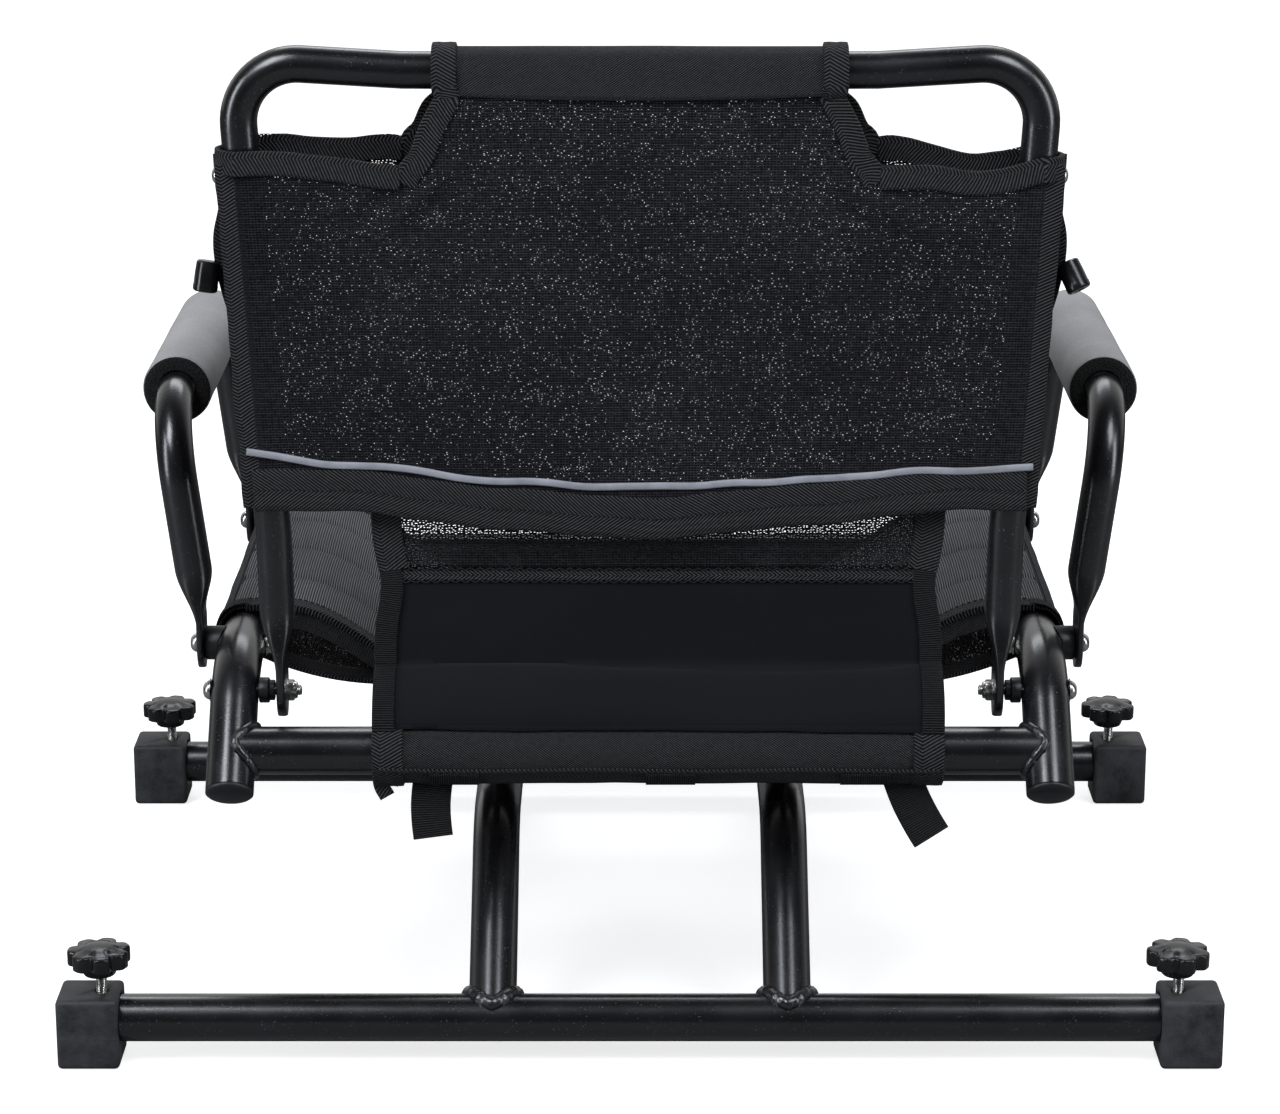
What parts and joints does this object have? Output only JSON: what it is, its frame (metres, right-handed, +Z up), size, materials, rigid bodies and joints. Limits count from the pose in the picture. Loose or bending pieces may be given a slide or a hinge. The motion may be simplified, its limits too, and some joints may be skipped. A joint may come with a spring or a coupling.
{
  "type": "folding swivel seat",
  "caption": "Low folding seat with foam armrests and a mesh back that swivels on a tubular sled base with adjustable clamp feet.",
  "frame": {"origin": "on the floor plane under the swivel axis, midway between the two base bars", "axes": "+Z up along the swivel axis, -Y the way the sitter faces, +X the sitter's left"},
  "size_m": [0.6414, 0.4452, 0.5391],
  "materials": {
    "black_tube": "black satin powder coat",
    "stainless": "stainless fasteners",
    "block_plastic": "matte, slightly mottled black",
    "knob_plastic": "glossy black",
    "cap_plastic": "satin black",
    "slip_ring": "natural acetal",
    "foam": "light grey foam skin, black open cells at the ends",
    "mesh_cloth": "black open weave mesh with webbing edges",
    "solid_cloth": "black close woven cloth",
    "seat_cloth": "dark grey ribbed mesh",
    "webbing": "black webbing"
  },
  "bodies": {
    "base": {"rear_bar": "black_tube", "front_bar": "black_tube", "leg_left": "black_tube", "leg_right": "black_tube", "swivel_lower_plate": "black_tube", "swivel_slip_ring": "slip_ring", "swivel_pin": "stainless"},
    "seat": {"swivel_upper_plate": "black_tube", "seat_support_left": "black_tube", "seat_support_right": "black_tube", "seat_rail_left": "black_tube", "seat_rail_right": "black_tube", "rear_cross_tube": "black_tube", "front_cross_tube": "black_tube", "rail_cap_rear_left": "cap_plastic", "rail_cap_rear_right": "cap_plastic", "rail_cap_front_left": "cap_plastic", "rail_cap_front_right": "cap_plastic", "arm_tube_left": "black_tube", "arm_tube_right": "black_tube", "arm_grip_left": "foam", "arm_grip_right": "foam", "arm_bolt_rear_left": "stainless", "arm_bolt_rear_right": "stainless", "arm_bolt_front_left": "stainless", "arm_bolt_front_right": "stainless", "arm_saddle_rear_left": "cap_plastic", "arm_saddle_rear_right": "cap_plastic", "arm_saddle_front_left": "cap_plastic", "arm_saddle_front_right": "cap_plastic", "arm_nut_rear_left": "stainless", "arm_nut_rear_right": "stainless", "back_bolt_left": "stainless", "back_bolt_right": "stainless", "back_spacer_left": "cap_plastic", "back_spacer_right": "cap_plastic", "back_nut_left": "stainless", "back_nut_right": "stainless", "seat_cover": "seat_cloth", "lower_panel": "solid_cloth", "hanging_strap_left": "webbing", "hanging_strap_right": "webbing"},
    "back": {"back_tube": "black_tube", "back_cover": "mesh_cloth", "cover_screw_left": "stainless", "cover_screw_right": "stainless", "side_toggle_left": "cap_plastic", "side_toggle_right": "cap_plastic"},
    "foot_rear_left": {"foot_block_rear_left": "block_plastic"},
    "stud_rear_left": {"clamp_stud_rear_left": "stainless"},
    "knob_rear_left": {"star_knob_rear_left": "knob_plastic"},
    "foot_rear_right": {"foot_block_rear_right": "block_plastic"},
    "stud_rear_right": {"clamp_stud_rear_right": "stainless"},
    "knob_rear_right": {"star_knob_rear_right": "knob_plastic"},
    "foot_front_left": {"foot_block_front_left": "block_plastic"},
    "stud_front_left": {"clamp_stud_front_left": "stainless"},
    "knob_front_left": {"star_knob_front_left": "knob_plastic"},
    "foot_front_right": {"foot_block_front_right": "block_plastic"},
    "stud_front_right": {"clamp_stud_front_right": "stainless"},
    "knob_front_right": {"star_knob_front_right": "knob_plastic"}
  },
  "joints": [
    {"name": "seat_swivel", "type": "hinge", "parent": "base", "child": "seat", "pos_m": [0, 0, 0.1315], "axis": [0, 0, 1], "continuous": true},
    {"name": "back_fold", "type": "hinge", "parent": "seat", "child": "back", "pos_m": [0, 0.1605, 0.19197], "axis": [1, 0, 0], "range_deg": [-4, 56], "deforming": ["seat_cover", "lower_panel"]},
    {"name": "foot_slide_rear_left", "type": "slide", "parent": "base", "child": "foot_rear_left", "axis": [1, 0, 0], "range_m": [-0.0025, 0.0095]},
    {"name": "stud_lift_rear_left", "type": "slide", "parent": "foot_rear_left", "child": "stud_rear_left", "axis": [0, 0, 1], "range_m": [0, 0.003]},
    {"name": "knob_turn_rear_left", "type": "hinge", "parent": "stud_rear_left", "child": "knob_rear_left", "pos_m": [0.2857, 0.2055, 0.0485], "axis": [0, 0, 1], "range_deg": [0, 1080]},
    {"name": "foot_slide_rear_right", "type": "slide", "parent": "base", "child": "foot_rear_right", "axis": [-1, 0, 0], "range_m": [-0.0025, 0.0095]},
    {"name": "stud_lift_rear_right", "type": "slide", "parent": "foot_rear_right", "child": "stud_rear_right", "axis": [0, 0, 1], "range_m": [0, 0.003]},
    {"name": "knob_turn_rear_right", "type": "hinge", "parent": "stud_rear_right", "child": "knob_rear_right", "pos_m": [-0.2857, 0.2055, 0.0485], "axis": [0, 0, 1], "range_deg": [0, 1080]},
    {"name": "foot_slide_front_left", "type": "slide", "parent": "base", "child": "foot_front_left", "axis": [1, 0, 0], "range_m": [-0.012, 0]},
    {"name": "stud_lift_front_left", "type": "slide", "parent": "foot_front_left", "child": "stud_front_left", "axis": [0, 0, 1], "range_m": [0, 0.003]},
    {"name": "knob_turn_front_left", "type": "hinge", "parent": "stud_front_left", "child": "knob_front_left", "pos_m": [0.2977, -0.2055, 0.0485], "axis": [0, 0, 1], "range_deg": [0, 1080]},
    {"name": "foot_slide_front_right", "type": "slide", "parent": "base", "child": "foot_front_right", "axis": [-1, 0, 0], "range_m": [-0.012, 0]},
    {"name": "stud_lift_front_right", "type": "slide", "parent": "foot_front_right", "child": "stud_front_right", "axis": [0, 0, 1], "range_m": [0, 0.003]},
    {"name": "knob_turn_front_right", "type": "hinge", "parent": "stud_front_right", "child": "knob_front_right", "pos_m": [-0.2977, -0.2055, 0.0485], "axis": [0, 0, 1], "range_deg": [0, 1080]}
  ],
  "couplings": [
    {"joint": "stud_lift_rear_left", "follows": "knob_turn_rear_left", "m_per_rad": 0.00015915},
    {"joint": "stud_lift_rear_right", "follows": "knob_turn_rear_right", "m_per_rad": 0.00015915},
    {"joint": "stud_lift_front_left", "follows": "knob_turn_front_left", "m_per_rad": 0.00015915},
    {"joint": "stud_lift_front_right", "follows": "knob_turn_front_right", "m_per_rad": 0.00015915}
  ]
}
